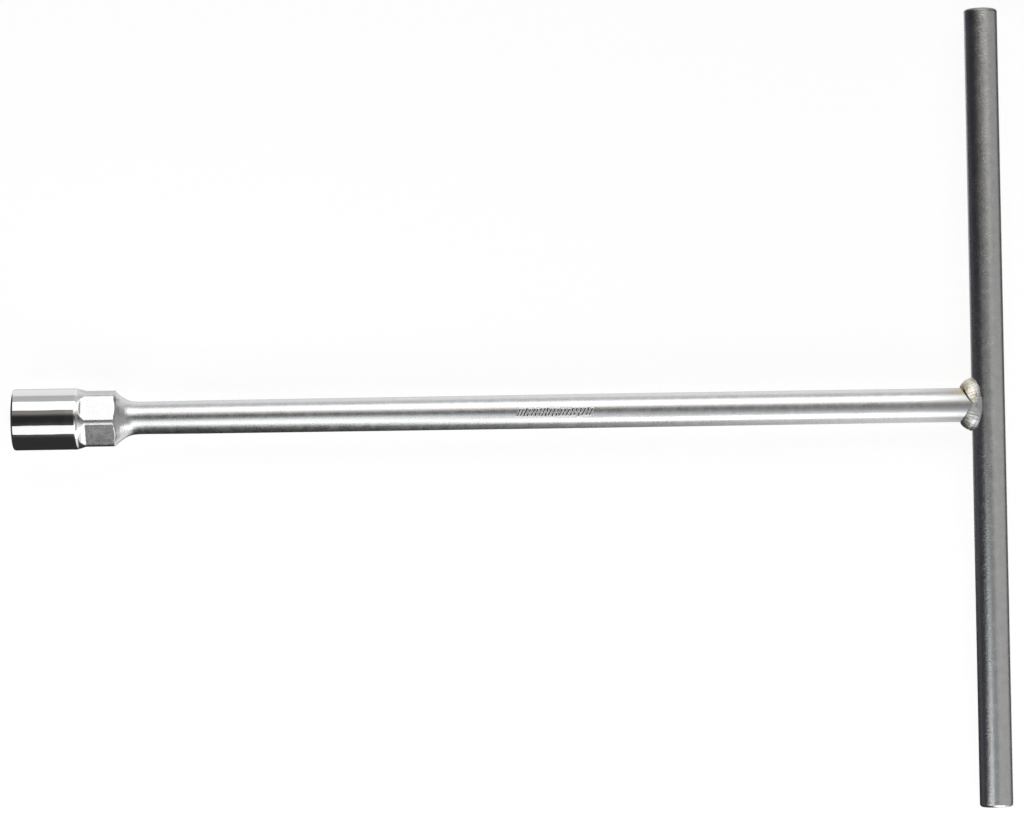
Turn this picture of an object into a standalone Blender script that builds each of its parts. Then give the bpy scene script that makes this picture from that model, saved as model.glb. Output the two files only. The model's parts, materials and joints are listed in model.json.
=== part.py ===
"""T-handle socket wrench for 14 mm hexagon nuts, lying on a bench.

The tool is modelled along its own axes, under the empty "tool_axis": the shank runs
along X with the socket's mouth at -X, the crossbar runs along Y, and the two centre
lines cross at the empty. The empty then tips the tool slightly, because it rests on
the fat end of its socket and on its welded joint.
"""

import math

import bmesh
import bpy
from mathutils import Matrix, Quaternion

MM = 0.001
GAP = 0.3 * MM                    # clear space kept between neighbouring solids

# Overall layout
MOUTH_TO_BAR = 319.3 * MM         # socket mouth to the crossbar's centre line
SHANK_OFF_CENTRE = 0.7 * MM       # the shank is welded this far from the crossbar's middle

# Crossbar
BAR_LENGTH = 262.0 * MM
BAR_RADIUS = 5.45 * MM
BAR_CHAMFER = 1.4 * MM
BAR_SIDES = 64

# Socket head: distances are measured from the mouth along the axis
BARREL_RADIUS = 10.0 * MM
BARREL_LENGTH = 20.6 * MM
MOUTH_EDGE = 0.6 * MM             # rounded outer edge of the mouth
SHOULDER_STEP = 0.7 * MM          # length of the sloping step behind the barrel
HEX_ACROSS_FLATS = 17.4 * MM
HEX_CORNER_RADIUS = 9.7 * MM      # the corners are turned down to this radius
FLATS_START = 22.3 * MM           # the flats slope in from here,
FLATS_START_ACROSS = 19.3 * MM    # at this size across,
FLATS_FULL = 23.8 * MM            # to their full depth here
HEX_END = 32.9 * MM
CHAMFER_END = 34.05 * MM          # the corners' chamfer, steeper than the cone behind it
CHAMFER_END_RADIUS = 8.15 * MM
CONE_END = 37.5 * MM
CONE_END_RADIUS = 5.93 * MM
NECK_END = 42.5 * MM
NECK_RADIUS = 5.3 * MM
HEX_TURN = math.radians(8.9)      # the flats' turn about the tool's axis
HEAD_STEPS = 72
NECK_POINTS = 6
EDGE_POINTS = 4

# Opening in the socket
OPENING_ACROSS_FLATS = 14.1 * MM
OPENING_DEPTH = 13.0 * MM
LEAD_IN_RADIUS = 8.6 * MM
LEAD_IN_DEPTH = 0.7 * MM
RELIEF_RADIUS = 6.7 * MM
RELIEF_DEPTH = 21.0 * MM
DRILL_TIP_DEPTH = 25.0 * MM
RELIEF_STEPS = 48

# Shank: a long, slight taper from the neck to the crossbar
SHANK_RADIUS = 5.6 * MM
SHANK_STEPS = 64
NECK_BLEND = 18.0 * MM            # the shank thickens quickly over this length
NECK_BLEND_RADIUS = 5.43 * MM
SHANK_MIDDLE = 189.3 * MM         # from here on the shank has its full radius

# Weld: one oval bead each side, proud of the joint on top and low underneath
WELD_FROM_BAR = 5.2 * MM
WELD_ALONG_SHANK = 5.6 * MM
WELD_ALONG_BAR = 9.0 * MM
WELD_TOP = 6.6 * MM
WELD_UNDERSIDE = 5.7 * MM
WELD_SPLIT = 0.4 * MM             # the two beads meet this far to the +Y side
WELD_SEGMENTS = 32

# Cutting bodies, made larger than what they cut
HEX_SIDES = 6
RING_RADIUS = 15.0 * MM
RING_STEPS = 48
CUT_BEYOND = 2.0 * MM
BAR_CUT_LENGTH = 60.0 * MM
SHANK_CUT_LENGTH = 30.0 * MM
TRIM_SIZE = 60.0 * MM

STEEL_GREY = (0.62, 0.63, 0.64, 1.0)
BAR_GREY = (0.42, 0.42, 0.42, 1.0)
CHROME = (0.80, 0.80, 0.81, 1.0)
STRAW_WELD = (0.70, 0.66, 0.56, 1.0)
OLIVE_WELD = (0.50, 0.50, 0.46, 1.0)


def clear_scene():
    for item in list(bpy.data.objects):
        bpy.data.objects.remove(item, do_unlink=True)


def new_collection(name):
    collection = bpy.data.collections.new(name)
    bpy.context.scene.collection.children.link(collection)
    return collection


def make_material(name, colour, roughness):
    material = bpy.data.materials.new(name)
    material.use_nodes = True
    shader = material.node_tree.nodes["Principled BSDF"]
    shader.inputs["Base Color"].default_value = colour
    shader.inputs["Metallic"].default_value = 1.0
    shader.inputs["Roughness"].default_value = roughness
    return material


def add_object(name, mesh, collection, parent):
    item = bpy.data.objects.new(name, mesh)
    collection.objects.link(item)
    item.parent = parent
    return item


def finish_part(item, colour, roughness):
    """Give a sub-part its own material and smooth round faces."""
    item.data.materials.append(make_material(item.name, colour, roughness))
    item.data.shade_smooth()
    item.data.set_sharp_from_angle(angle=math.radians(30.0))


def mark_cutter(item):
    item.hide_render = True
    item.display_type = "WIRE"


def bmesh_to_mesh(name, working):
    bmesh.ops.recalc_face_normals(working, faces=working.faces)
    mesh = bpy.data.meshes.new(name)
    working.to_mesh(mesh)
    working.free()
    return mesh


def corner_distance(across_flats):
    """From a hexagon's centre to its sharp corner."""
    return across_flats / 2.0 / math.cos(math.radians(30.0))


def cone_mesh(name, start_radius, end_radius, length, segments):
    """A cone, cylinder or prism along Z, from 0 to length, with one corner over +X."""
    working = bmesh.new()
    bmesh.ops.create_cone(
        working,
        cap_ends=True,
        segments=segments,
        radius1=start_radius,
        radius2=end_radius,
        depth=length,
    )
    quarter_turn = Matrix.Rotation(math.radians(-90.0), 3, "Z")
    bmesh.ops.rotate(working, verts=working.verts, cent=(0.0, 0.0, 0.0), matrix=quarter_turn)
    bmesh.ops.translate(working, verts=working.verts, vec=(0.0, 0.0, length / 2.0))
    return bmesh_to_mesh(name, working)


def turned_object(name, profile, steps, collection, parent):
    """Turn an outline of (distance along the axis, radius) about Z.

    The outline runs down its outer side, from the far end to the near end.
    """
    mesh = bpy.data.meshes.new(name)
    points = [(radius, 0.0, along) for along, radius in profile]
    edges = [(index, index + 1) for index in range(len(points) - 1)]
    mesh.from_pydata(points, edges, [])
    item = add_object(name, mesh, collection, parent)
    screw = item.modifiers.new("turn", "SCREW")
    screw.axis = "Z"
    screw.angle = math.tau
    screw.steps = steps
    screw.render_steps = steps
    screw.use_merge_vertices = True
    screw.merge_threshold = 0.00001
    screw.use_smooth_shade = True
    return item


def cut(item, cutter):
    boolean = item.modifiers.new("cut_" + cutter.name, "BOOLEAN")
    boolean.operation = "DIFFERENCE"
    boolean.solver = "EXACT"
    boolean.object = cutter


def place_along_shank(item, from_mouth, turn=0.0):
    """Lay an object's Z axis along the shank, starting at a distance from the mouth."""
    lay_down = Quaternion((0.0, 1.0, 0.0), math.radians(90.0))
    item.rotation_mode = "QUATERNION"
    item.rotation_quaternion = lay_down @ Quaternion((0.0, 0.0, 1.0), turn)
    item.location = (from_mouth - MOUTH_TO_BAR, 0.0, 0.0)


def quarter_arc(centre_along, centre_radius, size, from_angle, to_angle, points):
    """Points on an arc of the outline, angles measured from the axis's far direction."""
    arc = []
    for index in range(points):
        share = index / (points - 1)
        angle = math.radians(from_angle + (to_angle - from_angle) * share)
        arc.append((centre_along + size * math.cos(angle), centre_radius + size * math.sin(angle)))
    return arc


def neck_outline():
    """The hollow curve from the cone down to the shank, tangent to the shank."""
    outline = []
    for index in range(NECK_POINTS):
        share = index / (NECK_POINTS - 1)
        along = NECK_END + (CONE_END - NECK_END) * share
        radius = NECK_RADIUS + (CONE_END_RADIUS - NECK_RADIUS) * share ** 2
        outline.append((along, radius))
    return outline


def head_outline():
    outline = [(NECK_END, 0.0)]
    outline += neck_outline()
    outline.append((CHAMFER_END, CHAMFER_END_RADIUS))
    outline.append((HEX_END, HEX_CORNER_RADIUS))
    outline.append((BARREL_LENGTH + SHOULDER_STEP, HEX_CORNER_RADIUS))
    outline.append((BARREL_LENGTH, BARREL_RADIUS))
    outline += quarter_arc(
        MOUTH_EDGE, BARREL_RADIUS - MOUTH_EDGE, MOUTH_EDGE, 90.0, 180.0, EDGE_POINTS
    )
    outline.append((0.0, 0.0))
    return outline


def flats_cutter(cutters, parent):
    """A ring that leaves a hexagon, with sloping run-ins towards the barrel."""
    start = FLATS_START
    end = CHAMFER_END + CUT_BEYOND
    mesh = cone_mesh("hex_ring", RING_RADIUS, RING_RADIUS, end - start, RING_STEPS)
    ring = add_object("hex_ring", mesh, cutters, parent)
    place_along_shank(ring, start)

    corner = corner_distance(HEX_ACROSS_FLATS)
    start_corner = corner_distance(FLATS_START_ACROSS)
    slope = (start_corner - corner) / (FLATS_FULL - FLATS_START)
    kept_outline = [
        (end + CUT_BEYOND, 0.0),
        (end + CUT_BEYOND, corner),
        (FLATS_FULL, corner),
        (start - CUT_BEYOND, start_corner + slope * CUT_BEYOND),
        (start - CUT_BEYOND, 0.0),
    ]
    kept_hexagon = turned_object("kept_hexagon", kept_outline, HEX_SIDES, cutters, parent)
    place_along_shank(kept_hexagon, 0.0, HEX_TURN)
    cut(ring, kept_hexagon)
    mark_cutter(ring)
    mark_cutter(kept_hexagon)
    return ring


def opening_cutters(cutters, parent):
    """The hexagon opening, its lead-in, and the drilled relief behind it."""
    corner = corner_distance(OPENING_ACROSS_FLATS)
    inradius = OPENING_ACROSS_FLATS / 2.0
    mesh = cone_mesh("opening_hex", corner, corner, OPENING_DEPTH + CUT_BEYOND, HEX_SIDES)
    hexagon = add_object("opening_hex", mesh, cutters, parent)
    place_along_shank(hexagon, -CUT_BEYOND, HEX_TURN)

    wide = LEAD_IN_RADIUS + (LEAD_IN_RADIUS - inradius) / LEAD_IN_DEPTH * CUT_BEYOND
    mesh = cone_mesh("opening_lead_in", wide, inradius, LEAD_IN_DEPTH + CUT_BEYOND, HEAD_STEPS)
    lead_in = add_object("opening_lead_in", mesh, cutters, parent)
    place_along_shank(lead_in, -CUT_BEYOND)

    relief_outline = [
        (DRILL_TIP_DEPTH, 0.0),
        (RELIEF_DEPTH, RELIEF_RADIUS),
        (OPENING_DEPTH - CUT_BEYOND, RELIEF_RADIUS),
        (OPENING_DEPTH - CUT_BEYOND, 0.0),
    ]
    relief = turned_object("opening_relief", relief_outline, RELIEF_STEPS, cutters, parent)
    place_along_shank(relief, 0.0)
    for item in (hexagon, lead_in, relief):
        mark_cutter(item)
    return [hexagon, lead_in, relief]


def build_socket_head(parts, cutters, parent):
    head = turned_object("socket_head", head_outline(), HEAD_STEPS, parts, parent)
    place_along_shank(head, 0.0)
    cut(head, flats_cutter(cutters, parent))
    for cutter in opening_cutters(cutters, parent):
        cut(head, cutter)
    finish_part(head, CHROME, 0.12)


def build_crossbar(parts, parent):
    mesh = cone_mesh("crossbar", BAR_RADIUS, BAR_RADIUS, BAR_LENGTH, BAR_SIDES)
    crossbar = add_object("crossbar", mesh, parts, parent)
    crossbar.rotation_euler = (math.radians(-90.0), 0.0, 0.0)
    crossbar.location = (0.0, -BAR_LENGTH / 2.0 - SHANK_OFF_CENTRE, 0.0)
    bevel = crossbar.modifiers.new("end_chamfers", "BEVEL")
    bevel.width = BAR_CHAMFER
    bevel.segments = 1
    bevel.limit_method = "ANGLE"
    bevel.angle_limit = math.radians(60.0)
    finish_part(crossbar, BAR_GREY, 0.4)


def bar_cutter(cutters, parent):
    """The crossbar with its clearance, cut out of what is welded to it."""
    radius = BAR_RADIUS + GAP
    mesh = cone_mesh("bar_clearance", radius, radius, BAR_CUT_LENGTH, BAR_SIDES)
    cutter = add_object("bar_clearance", mesh, cutters, parent)
    cutter.rotation_euler = (math.radians(-90.0), 0.0, 0.0)
    cutter.location = (0.0, -BAR_CUT_LENGTH / 2.0, 0.0)
    mark_cutter(cutter)
    return cutter


def build_shank(parts, parent, bar_clearance):
    start = NECK_END + GAP
    end = MOUTH_TO_BAR - BAR_RADIUS / 2.0
    outline = [
        (end, 0.0),
        (end, SHANK_RADIUS),
        (SHANK_MIDDLE, SHANK_RADIUS),
        (start + NECK_BLEND, NECK_BLEND_RADIUS),
        (start, NECK_RADIUS),
        (start, 0.0),
    ]
    shank = turned_object("shank", outline, SHANK_STEPS, parts, parent)
    place_along_shank(shank, 0.0)
    cut(shank, bar_clearance)
    finish_part(shank, STEEL_GREY, 0.3)


def shank_cutter(cutters, parent):
    radius = SHANK_RADIUS + GAP
    mesh = cone_mesh("shank_clearance", radius, radius, SHANK_CUT_LENGTH, SHANK_STEPS)
    cutter = add_object("shank_clearance", mesh, cutters, parent)
    place_along_shank(cutter, MOUTH_TO_BAR - SHANK_CUT_LENGTH + BAR_RADIUS / 2.0)
    mark_cutter(cutter)
    return cutter


def side_cutter(name, side, cutters, parent):
    """A block that removes the half of a bead beyond the place where two beads meet."""
    working = bmesh.new()
    bmesh.ops.create_cube(working, size=TRIM_SIZE)
    cutter = add_object(name, bmesh_to_mesh(name, working), cutters, parent)
    cutter.location = (0.0, WELD_SPLIT - side * (TRIM_SIZE - GAP) / 2.0, 0.0)
    mark_cutter(cutter)
    return cutter


def build_weld_bead(name, side, colour, parts, cutters, parent, clearances):
    """One oval bead, kept on one side (+1 or -1 along the crossbar) of the joint."""
    working = bmesh.new()
    bmesh.ops.create_uvsphere(
        working, u_segments=WELD_SEGMENTS, v_segments=WELD_SEGMENTS // 2, radius=1.0
    )
    half_height = (WELD_TOP + WELD_UNDERSIDE) / 2.0
    bmesh.ops.scale(
        working, vec=(WELD_ALONG_SHANK, WELD_ALONG_BAR, half_height), verts=working.verts
    )
    bead = add_object(name, bmesh_to_mesh(name, working), parts, parent)
    bead.location = (-WELD_FROM_BAR, 0.0, WELD_TOP - half_height)
    for cutter in clearances:
        cut(bead, cutter)
    cut(bead, side_cutter(name + "_trim", side, cutters, parent))
    finish_part(bead, colour, 0.35)


def place_tool(tool_axis):
    """Rest the tool on its weld and on the barrel's rear edge, centred on the origin."""
    barrel_edge = MOUTH_TO_BAR - BARREL_LENGTH
    tilt = math.atan((BARREL_RADIUS - WELD_UNDERSIDE) / (barrel_edge - WELD_FROM_BAR))
    height = WELD_UNDERSIDE * math.cos(tilt) - WELD_FROM_BAR * math.sin(tilt)
    middle = (MOUTH_TO_BAR - BAR_RADIUS) / 2.0
    tool_axis.rotation_euler = (0.0, tilt, 0.0)
    tool_axis.location = (middle, SHANK_OFF_CENTRE, height)


def build():
    clear_scene()
    parts = new_collection("t_handle_socket_wrench")
    cutters = new_collection("cutters")
    tool_axis = bpy.data.objects.new("tool_axis", None)
    parts.objects.link(tool_axis)
    place_tool(tool_axis)

    build_socket_head(parts, cutters, tool_axis)
    build_crossbar(parts, tool_axis)
    bar_clearance = bar_cutter(cutters, tool_axis)
    build_shank(parts, tool_axis, bar_clearance)
    clearances = [shank_cutter(cutters, tool_axis), bar_clearance]
    build_weld_bead("weld_bead_upper", 1.0, STRAW_WELD, parts, cutters, tool_axis, clearances)
    build_weld_bead("weld_bead_lower", -1.0, OLIVE_WELD, parts, cutters, tool_axis, clearances)


build()
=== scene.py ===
"""Looks of the T-handle socket wrench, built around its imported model.

Every piece is made along the tool's own axes: "along" is the distance from the socket's
mouth towards the crossbar, "across" runs along the crossbar, and "up" points away from
the bench. Angles round the shank are counted from "up" towards "across".
"""

import json
import math

import bpy
import numpy as np
from mathutils import Matrix, Vector


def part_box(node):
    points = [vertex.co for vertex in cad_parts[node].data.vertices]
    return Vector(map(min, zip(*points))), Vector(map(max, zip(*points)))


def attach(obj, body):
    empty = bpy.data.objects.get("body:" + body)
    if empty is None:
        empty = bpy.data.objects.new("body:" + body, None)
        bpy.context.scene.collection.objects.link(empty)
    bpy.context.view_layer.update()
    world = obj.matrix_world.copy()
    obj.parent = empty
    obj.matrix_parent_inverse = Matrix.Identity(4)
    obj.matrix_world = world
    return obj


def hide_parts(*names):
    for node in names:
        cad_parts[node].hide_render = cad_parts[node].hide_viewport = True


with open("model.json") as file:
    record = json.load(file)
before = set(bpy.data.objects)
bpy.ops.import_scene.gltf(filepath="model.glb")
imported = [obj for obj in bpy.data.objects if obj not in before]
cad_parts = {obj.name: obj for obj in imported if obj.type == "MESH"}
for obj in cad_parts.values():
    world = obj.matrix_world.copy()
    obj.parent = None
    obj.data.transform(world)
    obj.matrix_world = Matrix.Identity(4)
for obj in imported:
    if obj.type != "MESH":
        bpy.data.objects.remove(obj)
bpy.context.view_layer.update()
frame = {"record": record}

MM = 0.001
TAU = 2.0 * math.pi

# Distances between neighbouring rings: beside a flat end, and at a sudden step
END_RING_GAP = 0.02 * MM
SHORT_STEP = 0.1 * MM

# Socket head: its places are distances from the mouth
BARREL_LENGTH = 20.6 * MM
BARREL_RINGS_MM = (4.0, 8.0, 12.0, 16.0, 19.0, 20.2)
MOUTH_EDGE = 0.85 * MM
SHOULDER_ROUND = 1.5 * MM
SHOULDER_RUN = 0.55 * MM
HEX_INRADIUS = 8.7 * MM
HEX_CORNER_ROUND = 1.8 * MM
HEX_TURN = math.radians(-8.9)
HEX_CORNER_RADIUS = 9.7 * MM
HEX_START = 22.0 * MM
HEX_END = 33.0 * MM
HEX_END_EDGE = 0.35 * MM
POLISH_END = BARREL_LENGTH + 0.7 * MM
ROUND_FROM = 35.5 * MM
FLAT_EDGE_SOFTNESS = 0.12 * MM
HEAD_STEP = 0.22 * MM
NECK_END = 42.5 * MM
NECK_RADIUS = 5.3 * MM
OPENING_RIM = 0.25 * MM
OPENING_INRADIUS = 7.05 * MM
OPENING_CORNER_ROUND = 0.35 * MM
OPENING_DEPTH = 13.0 * MM
RELIEF_RADIUS = 6.7 * MM
RELIEF_DEPTH = 21.0 * MM
DRILL_TIP_DEPTH = 25.0 * MM
DRILL_TIP_RADIUS = 0.3 * MM
LEAD_IN_RADIUS = 8.6 * MM
LEAD_IN_DEPTH = 0.7 * MM

# The hexagon's flats run in behind the barrel, steeply at first: (along, inradius) in mm
FLATS_RUN_IN = (
    (21.2, 10.9), (21.9, 9.85), (22.3, 9.38), (22.6, 9.2), (23.8, 8.74),
    (24.0, HEX_INRADIUS / MM),
)

# The hollow curve from behind the hexagon down to the shank: (along, radius) in mm
CONE_AND_NECK = (
    (33.4, 9.02), (33.7, 8.62), (34.0, 8.27), (34.55, 7.79), (35.2, 7.26),
    (35.95, 6.78), (36.8, 6.27), (37.55, 5.92), (38.4, 5.65), (39.2, 5.48),
    (40.0, 5.40), (40.8, 5.35), (41.6, 5.32), (42.48, 5.30), (42.5, 5.30),
)

# Shank: (along, radius) where its taper changes, and where it is at its full radius
SHANK_TAPER = (
    (NECK_END, NECK_RADIUS),
    (60.8 * MM, 5.43 * MM),
    (109.3 * MM, 5.5 * MM),
)
SHANK_FULL = 189.3 * MM
SHANK_STEP = 2.5 * MM
SHANK_SIDES = 150
SHANK_END_IN_BAR = 0.75

# Stamped mark: two plain rows of dashes where the real tool carries its lettering
MARK_START = 164.8 * MM
MARK_LENGTH = 24.5 * MM
MARK_HALF_HEIGHT = 1.2 * MM
MARK_ANGLE = math.radians(-4.5)
MARK_ROW = 0.52
MARK_ROW_WANDER = 0.12
MARK_HALF_DASH = (0.25, 0.45)
MARK_SLANT = (0.25, 0.6)
MARK_GAPS = (0.75, 1.25)
MARK_STROKE = 0.26 * MM
MARK_PITCH = 0.58 * MM
MARK_DEPTH = 0.20 * MM
MARK_BURR = 0.45
MARK_MARGIN = 1.2 * MM
MARK_STEP = 0.085 * MM
MARK_HALF_ARC = math.radians(17.0)
MARK_SIDES = 44

# Shares of a stroke's half width: where its walls stand, and its burr's place and width
MARK_WALLS = (0.25, 0.9)
MARK_BURR_PLACE = 1.25
MARK_BURR_WIDTH = 0.45

# Shares of the mark's depth past which a face is a stamped floor, painted near black as painted
# shade, or a raised burr, painted near white as painted glints
STAMPED_FROM = 0.2
RAISED_FROM = -0.08

# Crossbar
BAR_END_LENGTH = 1.2 * MM
BAR_END_DEPTH = 1.3 * MM
BAR_END_RINGS = 14
BAR_END_FULLNESS = 0.9
BAR_STRAIGHT_FROM_END = 4.0 * MM
BAR_STRAIGHT_RINGS = 90
BAR_SIDES = 224

# Weld beads: the tip where they start in front, and how each one is swept
WELD_TIP_REACH = 5.4 * MM
WELD_TIP_HEIGHT = 5.75 * MM
WELD_TIP_DEGREES = 22.0
WELD_STEPS = 40
WELD_SECTIONS = 220
WELD_SINK = 0.45 * MM
WELD_LIP = 0.3 * WELD_SINK
# Sections and rows along a bead's front toe painted near black as painted shade in the undercut
UNDERCUT_STEPS = 4
UNDERCUT_DEGREES = 55.0
WELD_ROUGHNESS = 0.42

# Each bead runs round its side of the joint, from start to end in degrees. Its reach along
# the shank and its crown are given in front and at the side; it turns round the crossbar
# less far where it dips in front.
UPPER_BEAD = {
    "start": 0.0,
    "end": 178.0,
    "front_reach": 5.0 * MM,
    "side_reach": 4.1 * MM,
    "reach_power": 0.5,
    "half_width": 8.7 * MM,
    "turn": math.radians(62.0),
    "dip": math.radians(8.0),
    "front_crown": 0.55 * MM,
    "side_crown": 0.85 * MM,
    "ripples": 44.0,
}
LOWER_BEAD = {
    "start": -32.0,
    "end": 182.0,
    "front_reach": 6.0 * MM,
    "side_reach": 3.2 * MM,
    "reach_power": 0.8,
    "half_width": 8.4 * MM,
    "turn": math.radians(61.0),
    "dip": 0.0,
    "front_crown": 0.3 * MM,
    "side_crown": 0.7 * MM,
    "ripples": 38.0,
}

# Heat tints from a bead's toe on the shank to the crossbar: (share of the way, colour)
STRAW_TINT = (
    (0.05, (0.72, 0.63, 0.48)),
    (0.3, (0.84, 0.79, 0.67)),
    (0.55, (0.84, 0.81, 0.73)),
    (0.85, (0.68, 0.65, 0.67)),
)
OLIVE_TINT = (
    (0.1, (0.56, 0.57, 0.50)),
    (0.4, (0.70, 0.71, 0.69)),
    (0.65, (0.72, 0.73, 0.75)),
    (0.9, (0.64, 0.64, 0.66)),
)

# Near the crossbar, between two distances before it: painted shade all round, a darker colour
# where the bar and weld shade the shank, with rougher plate from the weld's heat, and a straw
# heat tint that starts and is full at two places towards +Y
NEAR_BAR_SHADE_AND_DULLING = (24.0 * MM, 8.0 * MM)
NEAR_BAR_PAINTED_SHADE = (0.59, 0.595, 0.60)
DULLED_ROUGHNESS = 0.09
STRAW = (15.0 * MM, 9.0 * MM)
STRAW_SIDE = (3.2 * MM, 4.4 * MM)
STRAW_COLOUR = (0.68, 0.62, 0.46)

# Camera
CAMERA_PLACE = (-0.00335, -0.0409, 1.25)
CAMERA_AIM = (0.00058, 0.00197, 0.010)
CAMERA_ROLL = math.radians(-0.945)
CAMERA_LENS = 133.42

# Room and floor: the floor is wide, and light by itself like a lit sweep
ROOM_LIGHT = (0.03, 0.03, 0.031, 1.0)
BACKDROP = (0.97, 0.97, 0.97, 1.0)
FLOOR_HALF = 6.0
FLOOR_GLOW = 0.86

# Studio surround: (angle, light) of its boards round the tool, counted from overhead,
# positive beyond the shank and negative in front of it
SURROUND_RADIUS = 2.0
SURROUND_HALF = 2.6
SOCKET_END_GLOW = (
    (-180, 0.03), (-75, 0.03), (-66, 0.06), (-60, 0.10), (-22, 0.05), (-17, 0.035),
    (-10, 0.025), (-5, 0.023), (8, 0.023), (12, 0.045), (17, 0.12), (21, 0.23),
    (33, 0.21), (73, 0.48), (97, 0.46), (101, 0.81), (140, 0.86), (180, 0.38),
)
MIDDLE_GLOW = (
    (-180, 0.03), (-92, 0.03), (-80, 0.12), (-72, 0.4), (-66, 0.75), (-60, 0.95),
    (-22, 0.4), (-17, 0.2), (-10, 0.1), (8, 0.08), (13, 0.15), (17, 0.4), (22, 0.8),
    (28, 1.1), (33, 1.15), (73, 0.6), (97, 0.55), (101, 0.88), (140, 0.9), (180, 0.4),
)
HANDLE_END_GLOW = (
    (-180, 0.95), (-80, 0.95), (-38, 0.75), (-32, 0.55), (-25, 0.4), (-8, 0.2), (8, 0.2),
    (13, 0.2), (17, 0.35), (22, 0.65), (28, 1.0), (33, 1.1), (73, 0.55), (97, 0.5),
    (101, 0.85), (140, 0.9), (180, 0.7),
)
RIGHT_WALL_GLOW = 0.38
LEFT_WALL_GLOW = 0.037

# Where the surround's light changes along the tool: from a first place to a last one
SOCKET_TO_MIDDLE = (-0.29, -0.25)
MIDDLE_TO_HANDLE = (-0.05, 0.50)
DARK_END = (-1.66, -1.16)
CEILING_START = (0.45, 0.85)
UNDER_RIGHT_START = (1.0, 1.4)
UNDER_RIGHT_GLOW = 0.08

# The ceiling over the handle starts further back and is darker beyond the shank. These
# changes and the warm strip lie between pairs of angles from overhead.
CEILING_SET_BACK = 0.9
CEILING_SET_BACK_ANGLES = (8.0, 11.0)
CEILING_FALL_OFF = 0.3
CEILING_FALL_OFF_ANGLES = (7.0, 12.0)
CEILING_SIDE_ANGLES = (60.0, 90.0)
UNDER_RIGHT_ANGLES = (110.0, 130.0)
WARM_FROM_ANGLES = (12.0, 16.0)
WARM_TO_ANGLES = (32.0, 36.0)
WARM_LOSS = (0.0, 0.05, 0.12)

# End walls: shares of their light at five heights and at four places across
WALL_HEIGHTS = (-1.0, -0.62, -0.42, 0.0, 1.0)
RIGHT_WALL_SHARES = (0.15, 0.25, 1.0, 1.0, 1.0)
LEFT_WALL_SHARES = (2.2, 2.4, 2.0, 1.0, 1.0)
WALL_SIDES = (-1.0, 0.07, 0.23, 1.0)
SIDE_SHARES = (1.0, 1.0, 0.7, 0.7)

# A pale card hung over the shank: rows of light from the socket's end to the crossbar's,
# one value for each angle from overhead
CARD_HEIGHT = 0.36
CARD_ANGLES = (-24, -18, -11, -5, 2, 8, 13)
CARD_COOL_ANGLES = (-2.0, 8.0)
CARD_COOL_LOSS = (0.08, 0.02, 0.0)
CARD_GLOW_SHANK = (1.25, 0.72, 0.40, 0.17, 0.08, 0.09, 0.20)
CARD_GLOW_MIDDLE = (0.5, 0.36, 0.24, 0.14, 0.09, 0.12, 0.22)
CARD_GLOW_HANDLE = (0.36, 0.3, 0.22, 0.16, 0.14, 0.18, 0.24)
CARD_ROWS = (
    (-0.155, CARD_GLOW_SHANK),
    (-0.02, CARD_GLOW_SHANK),
    (0.06, CARD_GLOW_MIDDLE),
    (0.12, CARD_GLOW_HANDLE),
    (0.18, CARD_GLOW_HANDLE),
)


# ---------------------------------------------------------------- the tool's own axes

def mount_point(name):
    for mount in frame["record"]["mounts"]:
        if mount["name"] == name:
            return Vector(mount["pos_m"]), Vector(mount["axis"])
    raise ValueError("the record has no mount named " + name)


def tool_axes():
    """The tool's own axes in the frame, and where the crossbar's middle lies on them.

    Its place is the distance from the mouth and the shift to the side.
    """
    mouth, mouth_axis = mount_point("socket_mouth")
    left, _ = mount_point("crossbar_end_left")
    right, _ = mount_point("crossbar_end_right")
    middle = (left + right) / 2.0
    along = -mouth_axis.normalized()
    across = Vector((0.0, 1.0, 0.0))
    up = along.cross(across)
    origin = Vector((middle.x, mouth.y, middle.z))
    length = (origin - mouth).dot(along)
    start = origin - along * length
    rows = [
        (along.x, across.x, up.x, start.x),
        (along.y, across.y, up.y, start.y),
        (along.z, across.z, up.z, start.z),
        (0.0, 0.0, 0.0, 1.0),
    ]
    return Matrix(rows), length, middle.y - mouth.y


TOOL, MOUTH_TO_BAR, BAR_SHIFT = tool_axes()
BAR_PLACE = (TOOL @ Vector((MOUTH_TO_BAR, 0.0, 0.0))).x
WELD_TINT_FROM = BAR_PLACE - 9.0 * MM
WELD_TINT_TO = BAR_PLACE - 2.5 * MM


def box_size(node):
    low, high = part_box(node)
    return high - low


BARREL_RADIUS = box_size("socket_head").y / 2.0
SHANK_RADIUS = box_size("shank").y / 2.0
BAR_RADIUS = box_size("crossbar").x / 2.0
BAR_LENGTH = box_size("crossbar").y


# ---------------------------------------------------------------- mesh helpers

def make_piece(name, points, faces, node, materials, face_materials=None):
    """A smooth mesh piece, given in the tool's axes, that stands for a CAD node."""
    matrix = np.array(TOOL)
    world = points @ matrix[:3, :3].T + matrix[:3, 3]
    mesh = bpy.data.meshes.new(name)
    mesh.from_pydata(world.tolist(), [], faces)
    for material in materials:
        mesh.materials.append(material)
    if face_materials is not None:
        mesh.polygons.foreach_set("material_index", face_materials)
    mesh.shade_smooth()
    mesh.validate()
    piece = bpy.data.objects.new(name, mesh)
    bpy.context.scene.collection.objects.link(piece)
    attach(piece, "root")
    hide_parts(node)
    return piece


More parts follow.
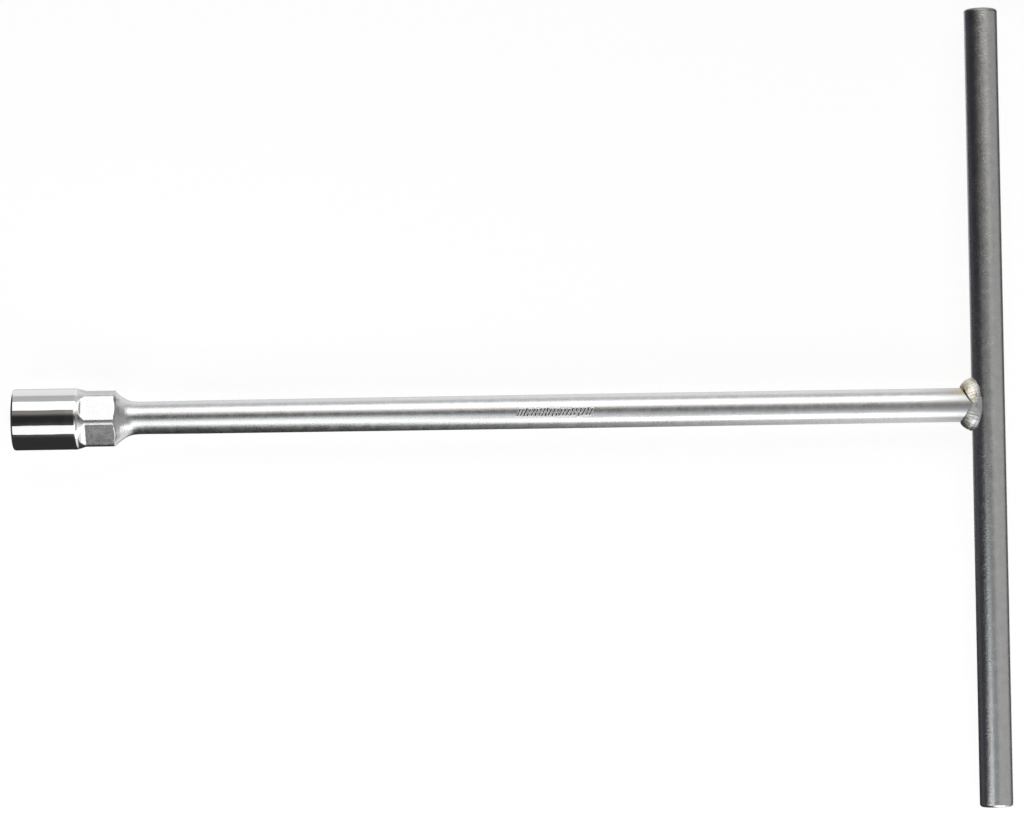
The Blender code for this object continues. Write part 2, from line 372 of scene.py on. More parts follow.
def loft(rings):
    """Points and faces of a closed body through rings of equal length, with end fans."""
    count = len(rings[0])
    points = [np.asarray(ring) for ring in rings]
    points.append(rings[0].mean(axis=0)[None, :])
    points.append(rings[-1].mean(axis=0)[None, :])
    faces = []
    for row in range(len(rings) - 1):
        low = row * count
        high = low + count
        for step in range(count):
            following = (step + 1) % count
            faces.append((low + step, high + step, high + following, low + following))
    first_centre = len(rings) * count
    last_centre = first_centre + 1
    last_row = (len(rings) - 1) * count
    for step in range(count):
        following = (step + 1) % count
        faces.append((first_centre, step, following))
        faces.append((last_centre, last_row + following, last_row + step))
    return np.concatenate(points), faces


def ring_round_shank(along, radii, angles):
    """Points round the tool's axis; radii may be one number or one for each angle."""
    across = radii * np.sin(angles)
    up = radii * np.cos(angles)
    return np.stack([np.full_like(across, along), across, up], axis=1)


def smooth_min(first, second, width):
    mix = np.clip(0.5 + 0.5 * (second - first) / width, 0.0, 1.0)
    return second * (1.0 - mix) + first * mix - width * mix * (1.0 - mix)


def bell(value, middle, width):
    return math.exp(-(((value - middle) / width) ** 2))


def smooth_step(value, start, end):
    share = np.clip((value - start) / (end - start), 0.0, 1.0)
    return share * share * (3.0 - 2.0 * share)


def arc_points(centre, radius, start_degrees, end_degrees, count):
    """(along, radius) points on an arc; zero degrees points along the axis."""
    angles = np.radians(np.linspace(start_degrees, end_degrees, count))
    return [
        (centre[0] + radius * math.cos(angle), centre[1] + radius * math.sin(angle))
        for angle in angles
    ]


def hexagon_angles():
    """Angles round the axis, closer together at the hexagon's corners."""
    per_side = 48
    share = np.linspace(-1.0, 1.0, per_side, endpoint=False)
    within = math.radians(30.0) * (1.5 * share - 0.5 * share ** 3)
    flats = HEX_TURN + math.radians(30.0) + np.arange(6) * math.radians(60.0)
    return (flats[:, None] + within[None, :]).ravel()


def hexagon_radii(angles, inradius, rounding):
    """Distance from the axis to a hexagon with rounded corners, at each angle."""
    sector = math.radians(60.0)
    off_flat = np.abs((angles - HEX_TURN) % sector - sector / 2.0)
    flat = inradius / np.cos(off_flat)
    rounding_ends = math.atan((inradius - rounding) * math.tan(sector / 2.0) / inradius)
    centre = (inradius - rounding) / math.cos(sector / 2.0)
    to_corner = sector / 2.0 - off_flat
    inside = np.maximum(rounding ** 2 - (centre * np.sin(to_corner)) ** 2, 0.0)
    rounded = centre * np.cos(to_corner) + np.sqrt(inside)
    return np.where(off_flat > rounding_ends, rounded, flat)


# ---------------------------------------------------------------- material helpers

def new_material(name):
    material = bpy.data.materials.new(name)
    material.use_nodes = True
    nodes = material.node_tree.nodes
    return material, nodes, material.node_tree.links, nodes["Principled BSDF"]


def object_position(nodes, links, scale=(1.0, 1.0, 1.0)):
    """Object coordinates in metres, stretched by a scale for each axis."""
    coordinates = nodes.new("ShaderNodeTexCoord")
    mapping = nodes.new("ShaderNodeMapping")
    mapping.inputs["Scale"].default_value = scale
    links.new(coordinates.outputs["Object"], mapping.inputs["Vector"])
    return mapping.outputs["Vector"]


def noise(nodes, links, position, scale, detail=3.0, roughness=0.55):
    texture = nodes.new("ShaderNodeTexNoise")
    texture.inputs["Scale"].default_value = scale
    texture.inputs["Detail"].default_value = detail
    texture.inputs["Roughness"].default_value = roughness
    links.new(position, texture.inputs["Vector"])
    return texture.outputs["Fac"]


def remap(nodes, links, value, low, high, from_low=0.0, from_high=1.0):
    node = nodes.new("ShaderNodeMapRange")
    node.inputs["From Min"].default_value = from_low
    node.inputs["From Max"].default_value = from_high
    node.inputs["To Min"].default_value = low
    node.inputs["To Max"].default_value = high
    links.new(value, node.inputs["Value"])
    return node.outputs["Result"]


def colour_ramp(nodes, links, value, stops):
    node = nodes.new("ShaderNodeValToRGB")
    elements = node.color_ramp.elements
    elements[0].position, elements[0].color = stops[0][0], (*stops[0][1], 1.0)
    elements[1].position, elements[1].color = stops[-1][0], (*stops[-1][1], 1.0)
    for position, colour in stops[1:-1]:
        element = elements.new(position)
        element.color = (*colour, 1.0)
    links.new(value, node.inputs["Fac"])
    return node.outputs["Color"]


def bump(nodes, links, height, strength, distance, below=None):
    node = nodes.new("ShaderNodeBump")
    node.inputs["Strength"].default_value = strength
    node.inputs["Distance"].default_value = distance
    links.new(height, node.inputs["Height"])
    if below is not None:
        links.new(below, node.inputs["Normal"])
    return node.outputs["Normal"]


def multiply_add(nodes, links, value, factor, added):
    node = nodes.new("ShaderNodeMath")
    node.operation = "MULTIPLY_ADD"
    links.new(value, node.inputs[0])
    for socket, term in ((node.inputs[1], factor), (node.inputs[2], added)):
        if isinstance(term, float):
            socket.default_value = term
        else:
            links.new(term, socket)
    return node.outputs[0]


def mix_colour(nodes, links, amount, shade, colour):
    mix = nodes.new("ShaderNodeMix")
    mix.data_type = "RGBA"
    links.new(amount, mix.inputs["Factor"])
    links.new(shade, mix.inputs["A"])
    mix.inputs["B"].default_value = (*colour, 1.0)
    return mix.outputs["Result"]


# ---------------------------------------------------------------- materials

def polished_chrome():
    """Mirror chrome over fine turning marks, with faint wipe marks in its roughness."""
    material, nodes, links, shader = new_material("polished_chrome")
    shader.inputs["Metallic"].default_value = 1.0
    shader.inputs["Base Color"].default_value = (0.90, 0.90, 0.895, 1.0)
    position = object_position(nodes, links)
    wipes = noise(nodes, links, object_position(nodes, links, (1.0, 4.0, 4.0)), 90.0)
    links.new(remap(nodes, links, wipes, 0.035, 0.075, 0.3, 0.7), shader.inputs["Roughness"])
    turning = noise(nodes, links, object_position(nodes, links, (1.0, 0.02, 0.02)), 5200.0, 2.0)
    waves = noise(nodes, links, position, 160.0, 1.0)
    normal = bump(nodes, links, turning, 0.05, 0.00002)
    normal = bump(nodes, links, waves, 0.10, 0.0004, normal)
    links.new(normal, shader.inputs["Normal"])
    return material


def weld_heat_and_shade(nodes, links, position, shade, gloss):
    """Near the crossbar: painted shade all round where the bar and weld shade the shank, rougher
    plate from the weld's heat, and a straw heat tint on the far side.
    """
    axes = nodes.new("ShaderNodeSeparateXYZ")
    links.new(position, axes.inputs["Vector"])
    along, across = axes.outputs["X"], axes.outputs["Y"]
    shaded_and_dulled = remap(nodes, links, along, 0.0, 1.0, *(BAR_PLACE - before for before in NEAR_BAR_SHADE_AND_DULLING))
    hottest = remap(nodes, links, along, 0.0, 1.0, *(BAR_PLACE - before for before in STRAW))
    far_side = remap(nodes, links, across, 0.0, 1.0, *STRAW_SIDE)
    straw = multiply_add(nodes, links, hottest, far_side, 0.0)
    # Painted shade: the shank's colour darkens towards the crossbar, where the bar and weld shade
    # it
    shade = mix_colour(nodes, links, shaded_and_dulled, shade, NEAR_BAR_PAINTED_SHADE)
    shade = mix_colour(nodes, links, straw, shade, STRAW_COLOUR)
    return shade, multiply_add(nodes, links, shaded_and_dulled, DULLED_ROUGHNESS, gloss)


def satin_chrome(
    name, colour, roughness, grain_strength, patch_strength=0.12, grain_scale=2000.0, heat_and_shade=False
):
    """Satin plate: fine blasted grain, soft unevenness and a slightly varied gloss."""
    material, nodes, links, shader = new_material(name)
    shader.inputs["Metallic"].default_value = 1.0
    position = object_position(nodes, links)
    grain = noise(nodes, links, position, grain_scale, 2.0, 0.6)
    patches = noise(nodes, links, position, 420.0, 3.0)
    broad = noise(nodes, links, position, 60.0, 2.0)
    dark = tuple(channel * 0.93 for channel in colour)
    light = tuple(min(channel * 1.04, 1.0) for channel in colour)
    shade = colour_ramp(nodes, links, patches, [(0.3, dark), (0.7, light)])
    gloss = remap(nodes, links, patches, roughness - 0.04, roughness + 0.04, 0.25, 0.75)
    if heat_and_shade:
        shade, gloss = weld_heat_and_shade(nodes, links, position, shade, gloss)
    links.new(shade, shader.inputs["Base Color"])
    links.new(gloss, shader.inputs["Roughness"])
    normal = bump(nodes, links, broad, 0.12, 0.0005)
    normal = bump(nodes, links, patches, patch_strength, 0.0001, normal)
    normal = bump(nodes, links, grain, grain_strength, 0.00009, normal)
    links.new(normal, shader.inputs["Normal"])
    return material


def weld_metal(name, stops, roughness):
    """Weld metal under plate: a heat tint from its toe to the crossbar, over ripples."""
    material, nodes, links, shader = new_material(name)
    shader.inputs["Metallic"].default_value = 1.0
    position = object_position(nodes, links)
    patches = noise(nodes, links, position, 420.0, 3.0)
    axes = nodes.new("ShaderNodeSeparateXYZ")
    links.new(position, axes.inputs["Vector"])
    place = remap(nodes, links, axes.outputs["X"], 0.0, 1.0, WELD_TINT_FROM, WELD_TINT_TO)
    drift = nodes.new("ShaderNodeMath")
    drift.operation = "ADD"
    links.new(place, drift.inputs[0])
    links.new(remap(nodes, links, patches, -0.3, 0.3, 0.2, 0.8), drift.inputs[1])
    links.new(colour_ramp(nodes, links, drift.outputs[0], stops), shader.inputs["Base Color"])
    specks = noise(nodes, links, position, 1500.0, 2.0)
    gloss = remap(nodes, links, specks, roughness - 0.06, roughness + 0.08, 0.3, 0.7)
    links.new(gloss, shader.inputs["Roughness"])
    normal = bump(nodes, links, patches, 0.8, 0.0003)
    normal = bump(nodes, links, specks, 0.8, 0.0001, normal)
    links.new(normal, shader.inputs["Normal"])
    return material


# ---------------------------------------------------------------- socket head

def outer_profile():
    """(along, radius) of the head as turned, from the mouth's edge to the neck."""
    profile = arc_points(
        (MOUTH_EDGE, BARREL_RADIUS - MOUTH_EDGE), MOUTH_EDGE, 180.0, 90.0, 12
    )
    profile += [(along * MM, BARREL_RADIUS) for along in BARREL_RINGS_MM]
    profile += arc_points(
        (BARREL_LENGTH, BARREL_RADIUS - SHOULDER_ROUND), SHOULDER_ROUND, 90.0, 65.0, 9
    )
    profile += hollow_shoulder(*profile[-1])
    turned = np.arange(HEX_START, HEX_END - SHORT_STEP, HEAD_STEP)
    profile += [(along, HEX_CORNER_RADIUS) for along in turned]
    profile += arc_points(
        (HEX_END, HEX_CORNER_RADIUS - HEX_END_EDGE), HEX_END_EDGE, 90.0, 40.0, 5
    )
    profile += [(along * MM, radius * MM) for along, radius in CONE_AND_NECK]
    return refine(profile, HEAD_STEP, HEX_CORNER_RADIUS * 0.999)


def hollow_shoulder(start, radius):
    """The hollow end of the shoulder, down to the radius of the hexagon's corners."""
    drop = radius - HEX_CORNER_RADIUS
    return [
        (start + SHOULDER_RUN * share, radius - drop * (1.0 - (1.0 - share) ** 2))
        for share in (0.2, 0.4, 0.6, 0.8, 1.0)
    ]


def refine(profile, step, below_radius):
    """Split long stretches of an outline, where its radius is below a limit."""
    refined = [profile[0]]
    for before, after in zip(profile[:-1], profile[1:]):
        gap = after[0] - before[0]
        pieces = 1
        if gap > step and min(before[1], after[1]) < below_radius:
            pieces = int(math.ceil(gap / step))
        for index in range(1, pieces + 1):
            share = index / pieces
            refined.append(
                (before[0] + gap * share, before[1] + (after[1] - before[1]) * share)
            )
    return refined


def flats_inradius(along):
    """Half the size across the flats, at a distance from the mouth."""
    stations, inradii = (np.array(values) * MM for values in zip(*FLATS_RUN_IN))
    return float(np.interp(along, stations, inradii))


def opening_rings(angles):
    """Rings from the mouth's flat rim down into the blind opening."""
    opening = hexagon_radii(angles, OPENING_INRADIUS, OPENING_CORNER_ROUND)
    rings = [ring_round_shank(0.0, LEAD_IN_RADIUS + OPENING_RIM, angles)]
    rings.append(ring_round_shank(END_RING_GAP, LEAD_IN_RADIUS, angles))
    for share in (0.35, 0.7, 1.0, 1.3, 1.7):
        cone = LEAD_IN_RADIUS - (LEAD_IN_RADIUS - OPENING_INRADIUS) * share
        radii = np.maximum(cone, opening)
        rings.append(ring_round_shank(LEAD_IN_DEPTH * share, radii, angles))
    for along in np.linspace(2.0 * MM, OPENING_DEPTH, 8):
        rings.append(ring_round_shank(along, opening, angles))
    rings.append(ring_round_shank(OPENING_DEPTH + SHORT_STEP, RELIEF_RADIUS, angles))
    rings.append(ring_round_shank(RELIEF_DEPTH, RELIEF_RADIUS, angles))
    rings.append(ring_round_shank(DRILL_TIP_DEPTH, DRILL_TIP_RADIUS, angles))
    return rings


def build_socket_head(polished, satin, bore):
    """One closed skin: up out of the opening, over the rim and back to the neck."""
    angles = hexagon_angles()
    rings = opening_rings(angles)[::-1]
    bore_rows = len(rings) - 1
    polished_rows = bore_rows
    for along, radius in outer_profile():
        radii = np.full_like(angles, radius)
        if BARREL_LENGTH - SHORT_STEP <= along <= ROUND_FROM:
            flats = hexagon_radii(angles, flats_inradius(along), HEX_CORNER_ROUND)
            radii = smooth_min(radii, flats, FLAT_EDGE_SOFTNESS)
        rings.append(ring_round_shank(along, radii, angles))
        if along < POLISH_END:
            polished_rows = len(rings) - 1
    points, faces = loft(rings)
    slots = np.full(len(faces), 1, dtype=np.int32)
    slots[: polished_rows * len(angles)] = 0
    slots[: bore_rows * len(angles)] = 2
    return make_piece(
        "socket_head_finish", points, faces, "socket_head", [polished, satin, bore], slots
    )


# ---------------------------------------------------------------- shank

def shank_radius(along):
    stations, radii = zip(*SHANK_TAPER, (SHANK_FULL, SHANK_RADIUS))
    return float(np.interp(along, stations, radii))


def mark_strokes():
    """Two rows of short plain dashes that all lean one way, so that none can be read.

    Each is (along, arc, half length, slant).
    """
    generator = np.random.default_rng(4)
    strokes = []
    place = MARK_START
    while place < MARK_START + MARK_LENGTH:
        row = 1.0 if len(strokes) % 2 else -1.0
        wander = generator.uniform(-MARK_ROW_WANDER, MARK_ROW_WANDER)
        offset = MARK_HALF_HEIGHT * (MARK_ROW * row + wander)
        half = MARK_HALF_HEIGHT * generator.uniform(*MARK_HALF_DASH)
        slant = generator.uniform(*MARK_SLANT)
        strokes.append((place, offset, half, slant))
        place += MARK_PITCH * generator.uniform(*MARK_GAPS)
    return strokes


def mark_depth(along, arc, strokes):
    """How far the surface is pressed in at a point, with a low burr round each stroke."""
    grooves = np.zeros_like(arc)
    burrs = np.zeros_like(arc)
    for place, offset, half, slant in strokes:
        reach = arc - offset
        side = np.abs(along - place - slant * reach)
        end = np.maximum(np.abs(reach) - half, 0.0)
        distance = np.hypot(side, end)
        groove = 1.0 - smooth_step(distance, *(wall * MARK_STROKE for wall in MARK_WALLS))
        beyond = distance - MARK_BURR_PLACE * MARK_STROKE
        burr = np.exp(-((beyond / (MARK_BURR_WIDTH * MARK_STROKE)) ** 2))
        grooves = np.maximum(grooves, groove)
        burrs = np.maximum(burrs, burr)
    return (grooves - MARK_BURR * burrs * (1.0 - grooves)) * MARK_DEPTH


def shank_angles():
    """Angles round the shank, close together under the mark and even elsewhere."""
    fine = np.linspace(-MARK_HALF_ARC, MARK_HALF_ARC, MARK_SIDES)
    coarse = np.linspace(MARK_HALF_ARC, TAU - MARK_HALF_ARC, SHANK_SIDES)[1:-1]
    return np.concatenate([fine, coarse]) + MARK_ANGLE


def shank_stations(mark_start, mark_end):
    """Places of the shank's rings: close together under the mark, one near each end."""
    plain = np.arange(NECK_END, MOUTH_TO_BAR - BAR_RADIUS * SHANK_END_IN_BAR, SHANK_STEP)
    plain = plain[(plain < mark_start) | (plain > mark_end)]
    marked = np.arange(mark_start, mark_end, MARK_STEP)
    closing = [plain[0] + END_RING_GAP, plain[-1] - END_RING_GAP]
    return np.sort(np.concatenate([plain, marked, closing]))


def build_shank(satin, stamped, burr):
    angles = shank_angles()
    wrapped = (angles + math.pi) % TAU - math.pi
    strokes = mark_strokes()
    mark_start = MARK_START - MARK_MARGIN
    mark_end = MARK_START + MARK_LENGTH + MARK_MARGIN
    rings = []
    pressed = []
    for along in shank_stations(mark_start, mark_end):
        radius = shank_radius(along)
        depth = np.zeros_like(angles)
        if mark_start <= along <= mark_end:
            depth = mark_depth(along, (wrapped - MARK_ANGLE) * radius, strokes)
        rings.append(ring_round_shank(along, radius - depth, angles))
        pressed.append(depth)
    points, faces = loft(rings)
    pressed = np.array(pressed)
    # Painted light in the mark: stamped floors take a near-black painted shade, raised burrs
    # near-white painted glints
    floors = np.minimum(pressed[:-1], pressed[1:]) > STAMPED_FROM * MARK_DEPTH
    raised = np.maximum(pressed[:-1], pressed[1:]) < RAISED_FROM * MARK_DEPTH
    slots = np.zeros(len(faces), dtype=np.int32)
    slots[: floors.size] = np.where(raised, 2, floors).ravel()
    return make_piece("shank_finish", points, faces, "shank", [satin, stamped, burr], slots)


# ---------------------------------------------------------------- crossbar

def bar_profile():
    """(distance from the bar's middle, radius) from one rounded end to the other."""
    half = BAR_LENGTH / 2.0
    far_end = []
    for angle in np.radians(np.linspace(0.0, 90.0, BAR_END_RINGS)):
        place = half - BAR_END_LENGTH * (1.0 - math.sin(angle) ** BAR_END_FULLNESS)
        radius = BAR_RADIUS - BAR_END_DEPTH * (1.0 - math.cos(angle) ** BAR_END_FULLNESS)
        far_end.append((place, radius))
    near_end = [(-place, radius) for place, radius in far_end[::-1]]
    straight = half - BAR_STRAIGHT_FROM_END
    places = np.linspace(-straight, straight, BAR_STRAIGHT_RINGS)
    middle = [(place, BAR_RADIUS) for place in places]
    return near_end + middle + far_end


def build_crossbar(satin, dull_and_shaded_end):
    """The round bar, with rougher plate and a painted shade darkening the rounding of its far end.
    """
    angles = np.linspace(0.0, TAU, BAR_SIDES, endpoint=False)
    rings = []
    for place, radius in bar_profile():
        along = MOUTH_TO_BAR + radius * np.sin(angles)
        up = radius * np.cos(angles)
        across = np.full_like(angles, place + BAR_SHIFT)
        rings.append(np.stack([along, across, up], axis=1))
    points, faces = loft(rings)
    faces = [face[::-1] for face in faces]
    slots = np.zeros(len(faces), dtype=np.int32)
    side_faces = (len(rings) - 1) * len(angles)
    rounding_faces = (BAR_END_RINGS - 1) * len(angles)
    # Painted shade: the far end's rounding and end cap take the darker, rougher plate
    slots[side_faces - rounding_faces : side_faces] = 1
    slots[side_faces + 1 :: 2] = 1
    return make_piece("crossbar_finish", points, faces, "crossbar", [satin, dull_and_shaded_end], slots)


# ---------------------------------------------------------------- weld beads

def weld_section(angle, shank_reach, bar_half, bar_turn, crown):
    """One closed section of a bead, from its toe on the shank to its toe on the bar."""
    shank_normal = np.array([0.0, math.sin(angle), math.cos(angle)])
    shank_toe = np.array([MOUTH_TO_BAR - shank_reach, 0.0, 0.0]) + SHANK_RADIUS * shank_normal
    bar_normal = np.array([-math.cos(bar_turn), 0.0, math.sin(bar_turn)])
    bar_toe = np.array([MOUTH_TO_BAR, bar_half, 0.0]) + BAR_RADIUS * bar_normal
    outward = shank_normal + bar_normal
    outward /= np.linalg.norm(outward)
    section = []
    for share in np.linspace(0.0, 1.0, WELD_STEPS):
        rise = crown * (4.0 * share * (1.0 - share)) ** 0.5
        rise += WELD_LIP * (bell(share, 0.93, 0.035) - bell(share, 0.8, 0.07))
        section.append(shank_toe * (1.0 - share) + bar_toe * share + outward * rise)
    section.append(bar_toe - WELD_SINK * bar_normal)
    section.append((shank_toe + bar_toe) / 2.0 - outward * WELD_SINK * 3.0)
    section.append(shank_toe - WELD_SINK * shank_normal)
    return np.array(section)


def build_weld_bead(name, node, side, bead, materials):
    """Sweep a bead round one side of the joint, growing from a tip in front.

    A second material, where there is one, paints a near-black painted shade in the undercut along
    the bead's front toe.
    """
    tip = np.array([MOUTH_TO_BAR - WELD_TIP_REACH, 0.0, WELD_TIP_HEIGHT])
    start, end = bead["start"], bead["end"]
    rings = []
    for index in range(WELD_SECTIONS + 1):
        turned = start + (end - start) * index / WELD_SECTIONS
        reach, half, turn, crown = bead_shape(bead, math.radians(turned))
        section = weld_section(side * math.radians(turned), reach, side * half, turn, crown)
        grown = min((turned - start + 2.0) / WELD_TIP_DEGREES, 1.0)
        rings.append(tip + (section - tip) * math.sin(grown * math.pi / 2.0))
    points, faces = loft(rings)
    if side > 0:
        faces = [face[::-1] for face in faces]
    slots = np.zeros(len(faces), dtype=np.int32)
    # Painted shade: the undercut's faces take the near-black second material
    if len(materials) > 1:
        row_faces = len(rings[0])
        for row in range(int(UNDERCUT_DEGREES / (end - start) * WELD_SECTIONS)):
            slots[row * row_faces : row * row_faces + UNDERCUT_STEPS] = 1
    return make_piece(name, points, faces, node, materials, slots)


def bead_crown(front, sides, turned, ripple_count):
    """Height of a bead's crown: fuller at the sides, flat underneath, with fine ripples."""
    side_share = abs(math.sin(turned))
    wander = 1.3 * math.sin(5.0 * turned) + 0.9 * math.sin(11.0 * turned + 1.0)
    ripple = 0.05 * MM * math.sin(turned * ripple_count + wander) * (0.3 + 0.7 * side_share)
    under = smooth_step(turned, math.radians(110.0), math.radians(160.0))
    return (front + (sides - front) * side_share + ripple) * (1.0 - 0.75 * under)


def bead_shape(bead, turned):
    """Reach along the shank, half width, turn round the crossbar and crown of a bead."""
    reach = bead["front_reach"] + bead["side_reach"] * abs(math.sin(turned)) ** bead["reach_power"]
    half = bead["half_width"] * math.sin(turned)
    turn = bead["turn"] * math.cos(turned) - bead["dip"] * bell(turned, 0.0, 0.5)
    crown = bead_crown(bead["front_crown"], bead["side_crown"], turned, bead["ripples"])
    return reach, half, turn, crown


# ---------------------------------------------------------------- studio

def aim_matrix(position, target, roll):
    direction = (Vector(target) - Vector(position)).normalized()
    up_hint = Vector((0.0, 1.0, 0.0))
    right = direction.cross(up_hint).normalized()
    up = right.cross(direction)
    rotation = Matrix((right, up, -direction)).transposed()
    turned = rotation @ Matrix.Rotation(roll, 3, "Z")
    return Matrix.Translation(position) @ turned.to_4x4()


def build_camera():
    data = bpy.data.cameras.new("camera")
    data.lens = CAMERA_LENS
    data.sensor_width = 36.0
    data.clip_start = 0.05
    data.clip_end = 50.0
    camera = bpy.data.objects.new("camera", data)
    bpy.context.scene.collection.objects.link(camera)
    camera.matrix_world = aim_matrix(CAMERA_PLACE, CAMERA_AIM, CAMERA_ROLL)
    bpy.context.scene.camera = camera


def softbox(name, angles, places, distance, radiance, swing=0.0):
    """An area light beside the tool.

    It fills a pair of angles from overhead, and runs between two places along X.
    """
    angle_from, angle_to = angles
    x_from, x_to = places
    centre = math.radians((angle_from + angle_to) / 2.0)
    half = math.radians(abs(angle_to - angle_from) / 2.0)
    width = x_to - x_from
    height = 2.0 * distance * math.tan(half)
    data = bpy.data.lights.new(name, "AREA")
    data.shape = "RECTANGLE"
    data.size = width
    data.size_y = height
    data.energy = radiance * math.pi * width * height
    light = bpy.data.objects.new(name, data)
    bpy.context.scene.collection.objects.link(light)
    middle = (x_from + x_to) / 2.0
    place = Vector((middle, math.sin(centre) * distance, math.cos(centre) * distance))
    turn = Matrix.Rotation(math.radians(swing), 4, "Z")
    aimed = aim_matrix(place, Vector((middle, 0.0, 0.0)), 0.0)
    light.matrix_world = Matrix.Translation(place) @ turn @ Matrix.Translation(-place) @ aimed
    light.visible_camera = False


def glowing_card(name, points, faces, glow):
    """A surround that only the tool's reflections see; glow is its light at each point."""
    mesh = bpy.data.meshes.new(name)
    mesh.from_pydata(points.tolist(), [], faces)
    values = mesh.attributes.new("glow", "FLOAT_COLOR", "POINT")
    values.data.foreach_set("color", np.asarray(glow, dtype=np.float32).ravel())
    material = bpy.data.materials.new(name)
    material.use_nodes = True
    nodes = material.node_tree.nodes
    nodes.clear()
    attribute = nodes.new("ShaderNodeAttribute")
    attribute.attribute_name = "glow"
    emission = nodes.new("ShaderNodeEmission")
    output = nodes.new("ShaderNodeOutputMaterial")
    material.node_tree.links.new(attribute.outputs["Color"], emission.inputs["Color"])
    material.node_tree.links.new(emission.outputs["Emission"], output.inputs["Surface"])
    mesh.materials.append(material)
    piece = bpy.data.objects.new(name, mesh)
    bpy.context.scene.collection.objects.link(piece)
    piece.visible_camera = False
    piece.visible_diffuse = False
    piece.visible_shadow = False
    piece.visible_transmission = False


def grid_faces(rows, columns):
    faces = []
    for row in range(rows - 1):
        for column in range(columns - 1):
            first = row * columns + column
            faces.append((first, first + 1, first + columns + 1, first + columns))
    return faces


def profile_glow(degrees, profile):
    angles, glow = zip(*profile)
    return np.interp(degrees, angles, glow)


def blend(first, second, share):
    return first * (1.0 - share) + second * share


def surround_glow(degrees, x):
    """Light of the studio walls round the tool, from its socket end to its handle end."""
    glow = blend(
        profile_glow(degrees, MIDDLE_GLOW),
        profile_glow(degrees, HANDLE_END_GLOW),
        smooth_step(x, *MIDDLE_TO_HANDLE),
    )
    at_socket = profile_glow(degrees, SOCKET_END_GLOW)
    glow = blend(at_socket, glow, smooth_step(x, *SOCKET_TO_MIDDLE))
    set_back = CEILING_SET_BACK * smooth_step(degrees, *CEILING_SET_BACK_ANGLES)
    ceiling = smooth_step(x - set_back, *CEILING_START)
    ceiling *= 1.0 - smooth_step(np.abs(degrees), *CEILING_SIDE_ANGLES)
    fall_off = CEILING_FALL_OFF * smooth_step(degrees, *CEILING_FALL_OFF_ANGLES)
    ceiling_glow = RIGHT_WALL_GLOW * (1.0 - fall_off)
    glow = blend(glow, ceiling_glow, ceiling)
    under_right = smooth_step(x, *UNDER_RIGHT_START)
    under_right *= smooth_step(np.abs(degrees), *UNDER_RIGHT_ANGLES)
    glow = blend(glow, UNDER_RIGHT_GLOW, under_right)
    return blend(LEFT_WALL_GLOW, glow, smooth_step(x, *DARK_END))


def build_boards():
    """A tunnel of plain boards round the tool, open to the lamps, warm beyond the shank."""
    degrees = np.arange(-180.0, 180.1, 2.5)
    stations = np.arange(-SURROUND_HALF, SURROUND_HALF + 0.01, 0.05)
    points = []
    glow = []
    for x in stations:
        for angle in degrees:
            turn = math.radians(angle)
            points.append((x, math.sin(turn) * SURROUND_RADIUS, math.cos(turn) * SURROUND_RADIUS))
            value = surround_glow(angle, x)
            warm = smooth_step(angle, *WARM_FROM_ANGLES)
            warm *= 1.0 - smooth_step(angle, *WARM_TO_ANGLES)
            glow.append((*(value * (1.0 - loss * warm) for loss in WARM_LOSS), 1.0))
    faces = grid_faces(len(stations), len(degrees))
    glowing_card("surround_boards", np.array(points), faces, glow)


def build_end_wall(name, x, wall_glow, height_shares, tint):
    """A wall across one end of the tunnel."""
    points = []
    glow = []
    for height, height_share in zip(WALL_HEIGHTS, height_shares):
        for side, side_share in zip(WALL_SIDES, SIDE_SHARES):
            points.append((x, side * SURROUND_RADIUS, height * SURROUND_RADIUS))
            value = wall_glow * height_share * side_share
            glow.append((*(value * channel for channel in tint), 1.0))
    faces = grid_faces(len(WALL_HEIGHTS), len(WALL_SIDES))
    glowing_card(name, np.array(points), faces, glow)


def build_surround():
    build_boards()
    build_end_wall(
        "surround_right", SURROUND_HALF, RIGHT_WALL_GLOW, RIGHT_WALL_SHARES, (1.0, 1.0, 0.99)
    )
    build_end_wall(
        "surround_left", -SURROUND_HALF, LEFT_WALL_GLOW, LEFT_WALL_SHARES, (0.92, 0.92, 1.1)
    )


def build_overhead_card():
    """The pale card over the shank, cool on the side of the near softbox."""
    points = []
    glow = []
    for x, values in CARD_ROWS:
        for angle, value in zip(CARD_ANGLES, values):
            points.append((x, math.tan(math.radians(angle)) * CARD_HEIGHT, CARD_HEIGHT))
            cool = smooth_step(-angle, *CARD_COOL_ANGLES)
            glow.append((*(value * (1.0 - loss * cool) for loss in CARD_COOL_LOSS), 1.0))
    faces = grid_faces(len(CARD_ROWS), len(CARD_ANGLES))
    glowing_card("overhead_card", np.array(points), faces, glow)


def build_world():
    world = bpy.data.worlds.new("studio")
    bpy.context.scene.world = world
    world.use_nodes = True
    nodes = world.node_tree.nodes
    links = world.node_tree.links
    background = nodes["Background"]
    background.inputs["Strength"].default_value = 1.0
    path = nodes.new("ShaderNodeLightPath")
    mix = nodes.new("ShaderNodeMix")
    mix.data_type = "RGBA"
    mix.inputs["A"].default_value = ROOM_LIGHT
    mix.inputs["B"].default_value = BACKDROP
    links.new(path.outputs["Is Camera Ray"], mix.inputs["Factor"])
    links.new(mix.outputs["Result"], background.inputs["Color"])


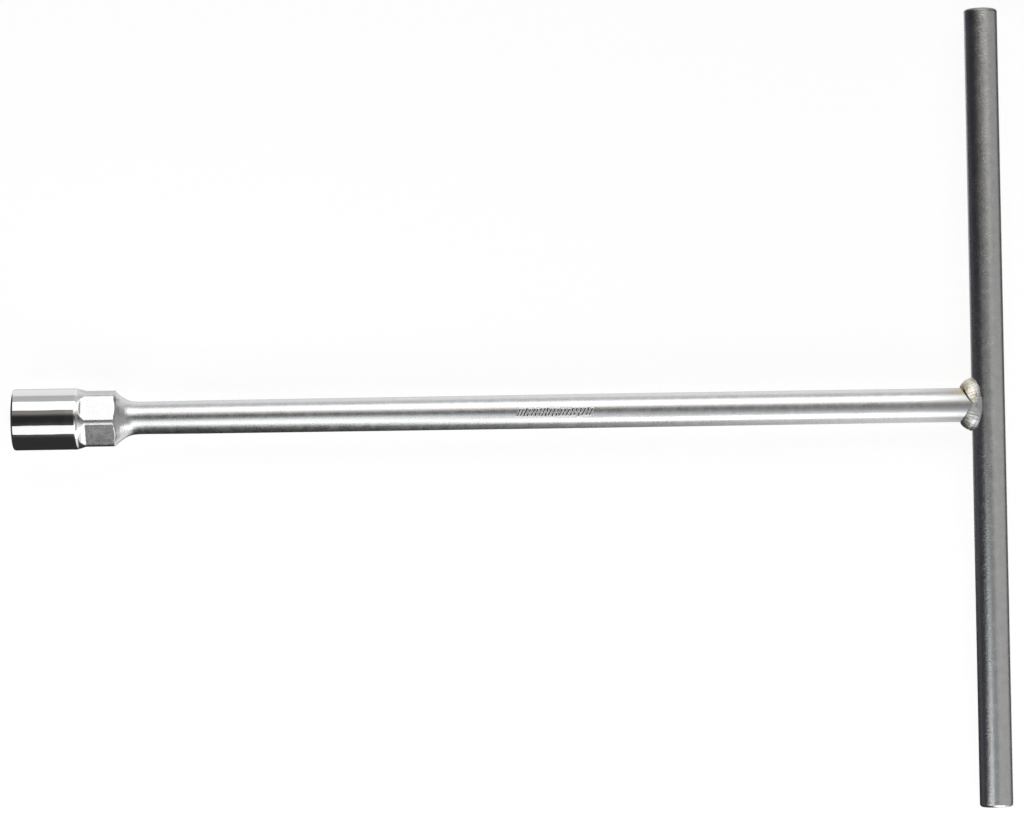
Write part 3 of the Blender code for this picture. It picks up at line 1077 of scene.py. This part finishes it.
def build_floor():
    mesh = bpy.data.meshes.new("studio_floor")
    corners = [(-1.0, -1.0), (1.0, -1.0), (1.0, 1.0), (-1.0, 1.0)]
    points = [(x * FLOOR_HALF, y * FLOOR_HALF, 0.0) for x, y in corners]
    mesh.from_pydata(points, [], [(0, 1, 2, 3)])
    material, _, _, shader = new_material("studio_floor")
    shader.inputs["Base Color"].default_value = (0.5, 0.5, 0.5, 1.0)
    shader.inputs["Roughness"].default_value = 0.9
    shader.inputs["Specular IOR Level"].default_value = 0.0
    shader.inputs["Emission Color"].default_value = (1.0, 1.0, 1.0, 1.0)
    shader.inputs["Emission Strength"].default_value = FLOOR_GLOW
    mesh.materials.append(material)
    floor = bpy.data.objects.new("studio_floor", mesh)
    bpy.context.scene.collection.objects.link(floor)
    floor.visible_glossy = False


def build_lights():
    """A long softbox beyond the shank, and two in front of it: one at each end."""
    softbox("softbox_far", (33.0, 69.0), (-0.95, 1.6), distance=1.9, radiance=0.9)
    softbox("softbox_near", (-58.0, -25.0), (-0.5, -0.01), distance=0.45, radiance=1.0, swing=4.0)
    softbox("softbox_handle", (-82.0, -52.0), (0.0, 0.6), distance=0.6, radiance=1.45)
    build_surround()
    build_overhead_card()


# ---------------------------------------------------------------- the whole tool

def build_welds():
    # Near-black painted shade for the undercut along the upper bead's front toe
    undercut = satin_chrome("weld_undercut_painted_shade", (0.05, 0.05, 0.05), 0.6, 0.3)
    build_weld_bead(
        "weld_bead_upper_finish",
        "weld_bead_upper",
        side=1.0,
        bead=UPPER_BEAD,
        materials=[weld_metal("weld_straw", STRAW_TINT, WELD_ROUGHNESS), undercut],
    )
    build_weld_bead(
        "weld_bead_lower_finish",
        "weld_bead_lower",
        side=-1.0,
        bead=LOWER_BEAD,
        materials=[weld_metal("weld_olive", OLIVE_TINT, WELD_ROUGHNESS)],
    )


def build_tool():
    build_socket_head(
        polished_chrome(),
        satin_chrome(
            "satin_chrome_head",
            (0.76, 0.765, 0.77),
            roughness=0.27,
            grain_strength=0.45,
            patch_strength=0.04,
            grain_scale=3200.0,
        ),
        satin_chrome("forged_bore", (0.45, 0.45, 0.45), 0.45, 0.5),
    )
    build_shank(
        satin_chrome(
            "satin_chrome_shank",
            (0.78, 0.785, 0.79),
            roughness=0.28,
            grain_strength=0.28,
            patch_strength=0.06,
            grain_scale=3200.0,
            heat_and_shade=True,
        ),
        # Near-black painted shade in the stamped floors; near-white painted glints on the raised
        # burrs
        satin_chrome("stamped_mark_painted_shade", (0.03, 0.03, 0.03), 0.6, 0.3),
        satin_chrome("raised_burr_painted_glint", (0.97, 0.97, 0.97), 0.6, 0.3),
    )
    build_crossbar(
        satin_chrome("satin_chrome_bar", (0.85, 0.85, 0.845), 0.25, 0.8),
        # The darker colour here is painted shade on the far end's rounding; its higher roughness
        # is real
        satin_chrome("dull_and_shaded_bar_end", (0.36, 0.36, 0.35), 0.42, 0.5),
    )
    build_welds()


build_tool()
build_camera()
build_world()
build_floor()
build_lights()
bpy.context.scene.view_settings.view_transform = "Standard"
